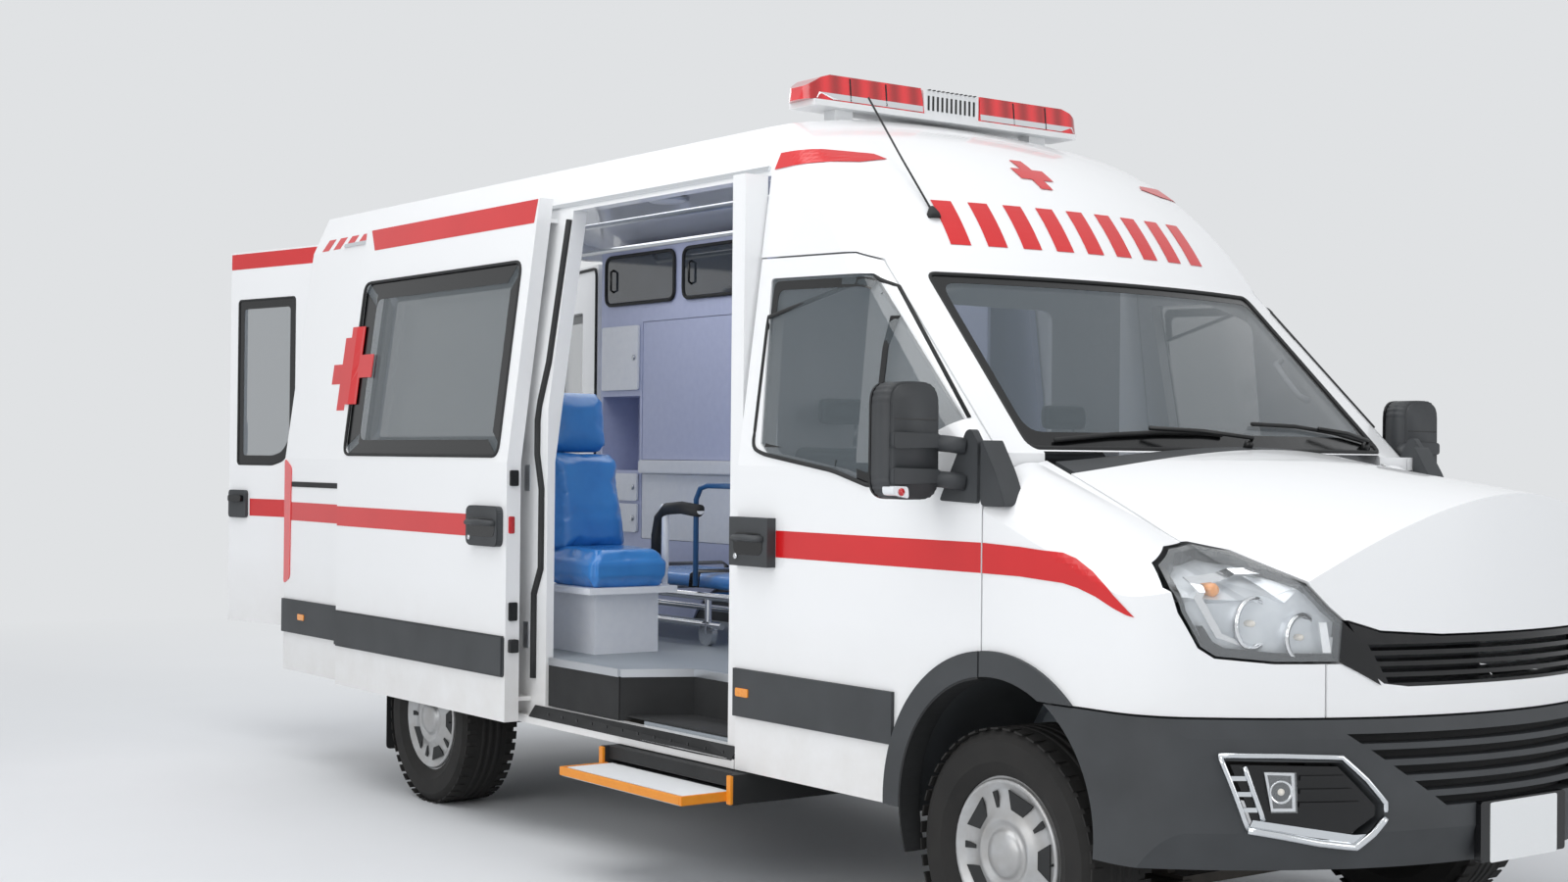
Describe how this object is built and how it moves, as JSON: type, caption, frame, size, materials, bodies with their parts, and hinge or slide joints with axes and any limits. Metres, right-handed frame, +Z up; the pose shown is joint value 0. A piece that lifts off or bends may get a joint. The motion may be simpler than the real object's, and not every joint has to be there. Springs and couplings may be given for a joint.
{
  "type": "ambulance van",
  "caption": "High-roof ambulance van with sliding side door, twin rear doors, side step, light bar and fitted load space.",
  "frame": {"origin": "on the ground under the middle of the overall length and width", "axes": "+X forward, +Y to the vehicle's left, +Z up"},
  "size_m": [6.7758, 2.48, 2.768],
  "materials": {
    "white_paint": "gloss white body paint",
    "blue_paint": "satin pale blue laminate on the lockers",
    "dark_plastic": "grained dark grey plastic",
    "black_plastic": "gloss black plastic",
    "dash_plastic": "soft grey moulding",
    "clear_lens": "clear lamp lens",
    "red_lens": "red lens",
    "window_glass": "tinted safety glass",
    "steel_black": "black chassis paint",
    "cast_metal": "bare casting",
    "aluminium": "brushed",
    "wheel_silver": "silver wheel paint",
    "tyre": "black tread rubber",
    "seat_fabric": "dark woven cloth",
    "blue_vinyl": "blue coated cloth",
    "floor_vinyl": "grey safety flooring on board",
    "chrome_rail": "polished tube"
  },
  "bodies": {
    "vehicle": {"attendant_seat_base": "white_paint", "attendant_seat_cushions": "blue_vinyl", "bulkhead": "white_paint", "cab_front_frame": "white_paint", "cab_seats": "seat_fabric", "cabinet_wall": "blue_paint", "chassis_frame": "steel_black", "cowl_grille": "dark_plastic", "dashboard": "dash_plastic", "engine_block": "cast_metal", "exhaust": "aluminium", "floor": "floor_vinyl", "fog_lamps": "black_plastic", "front_bumper": "dark_plastic", "front_suspension": "steel_black", "front_wings": "white_paint", "fuel_tank": "steel_black", "headlamps": "clear_lens", "light_bar_base": "dark_plastic", "light_bar_lenses": "red_lens", "nose_panel": "white_paint", "rear_axle": "steel_black", "roof": "white_paint", "side_mouldings": "dark_plastic", "side_panel_left": "white_paint", "side_panel_right": "white_paint", "side_windows": "window_glass", "sliding_door": "white_paint", "sliding_door_glass": "window_glass", "step_housing": "steel_black", "stretcher_frame": "chrome_rail", "stretcher_mattress": "blue_vinyl", "tail_lamps": "red_lens", "upper_grille": "black_plastic", "wheel_arch_liners": "dark_plastic", "windscreen": "window_glass"},
    "front_door_right_body": {"front_door_right": "white_paint", "front_door_glass_right": "window_glass", "front_door_trim_right": "dark_plastic", "mirror_right": "dark_plastic"},
    "rear_door_right_body": {"rear_door_right": "white_paint", "rear_door_glass_right": "window_glass"},
    "knuckle_right_body": {"knuckle_right": "cast_metal"},
    "wheel_front_right_body": {"wheel_front_right": "wheel_silver", "tyre_front_right": "tyre"},
    "wheel_rear_right_body": {"wheel_rear_right": "wheel_silver", "tyre_rear_right": "tyre"},
    "front_door_left_body": {"front_door_left": "white_paint", "front_door_glass_left": "window_glass", "front_door_trim_left": "dark_plastic", "mirror_left": "dark_plastic"},
    "rear_door_left_body": {"rear_door_left": "white_paint", "rear_door_glass_left": "window_glass"},
    "knuckle_left_body": {"knuckle_left": "cast_metal"},
    "wheel_front_left_body": {"wheel_front_left": "wheel_silver", "tyre_front_left": "tyre"},
    "wheel_rear_left_body": {"wheel_rear_left": "wheel_silver", "tyre_rear_left": "tyre"},
    "bonnet_body": {"bonnet": "white_paint"},
    "side_step_body": {"step_board": "aluminium"}
  },
  "joints": [
    {"name": "steer_right", "type": "hinge", "parent": "vehicle", "child": "knuckle_right_body", "pos_m": [2.39192, -0.85, 0.35], "axis": [0, 0, 1], "range_deg": [-35, 35]},
    {"name": "steer_left", "type": "hinge", "parent": "vehicle", "child": "knuckle_left_body", "pos_m": [2.39192, 0.85, 0.35], "axis": [0, 0, 1], "range_deg": [-35, 35]},
    {"name": "front_wheel_spin_right", "type": "hinge", "parent": "knuckle_right_body", "child": "wheel_front_right_body", "pos_m": [2.39192, -0.85, 0.35], "axis": [0, 1, 0], "continuous": true},
    {"name": "front_wheel_spin_left", "type": "hinge", "parent": "knuckle_left_body", "child": "wheel_front_left_body", "pos_m": [2.39192, 0.85, 0.35], "axis": [0, 1, 0], "continuous": true},
    {"name": "rear_wheel_spin_right", "type": "hinge", "parent": "vehicle", "child": "wheel_rear_right_body", "pos_m": [-1.12808, -0.85, 0.35], "axis": [0, 1, 0], "continuous": true},
    {"name": "rear_wheel_spin_left", "type": "hinge", "parent": "vehicle", "child": "wheel_rear_left_body", "pos_m": [-1.12808, 0.85, 0.35], "axis": [0, 1, 0], "continuous": true},
    {"name": "front_door_right_hinge", "type": "hinge", "parent": "vehicle", "child": "front_door_right_body", "pos_m": [2.33692, -1.014, 1.2], "axis": [0, 0, 1], "range_deg": [0, 70]},
    {"name": "front_door_left_hinge", "type": "hinge", "parent": "vehicle", "child": "front_door_left_body", "pos_m": [2.33692, 1.014, 1.2], "axis": [0, 0, -1], "range_deg": [0, 70]},
    {"name": "rear_door_right_hinge", "type": "hinge", "parent": "vehicle", "child": "rear_door_right_body", "pos_m": [-2.58708, -0.809, 1.5], "axis": [0, 0, 1], "range_deg": [-102, 78]},
    {"name": "rear_door_left_hinge", "type": "hinge", "parent": "vehicle", "child": "rear_door_left_body", "pos_m": [-2.58708, 0.809, 1.5], "axis": [0, 0, -1], "range_deg": [-102, 78]},
    {"name": "bonnet_hinge", "type": "hinge", "parent": "vehicle", "child": "bonnet_body", "pos_m": [2.47192, 0, 1.5], "axis": [0, -1, 0], "range_deg": [0, 50]},
    {"name": "side_step_slide", "type": "slide", "parent": "vehicle", "child": "side_step_body", "axis": [0, 1, 0], "range_m": [0, 0.27]}
  ],
  "couplings": [
    {"joint": "steer_left", "follows": "steer_right", "ratio": 1}
  ]
}
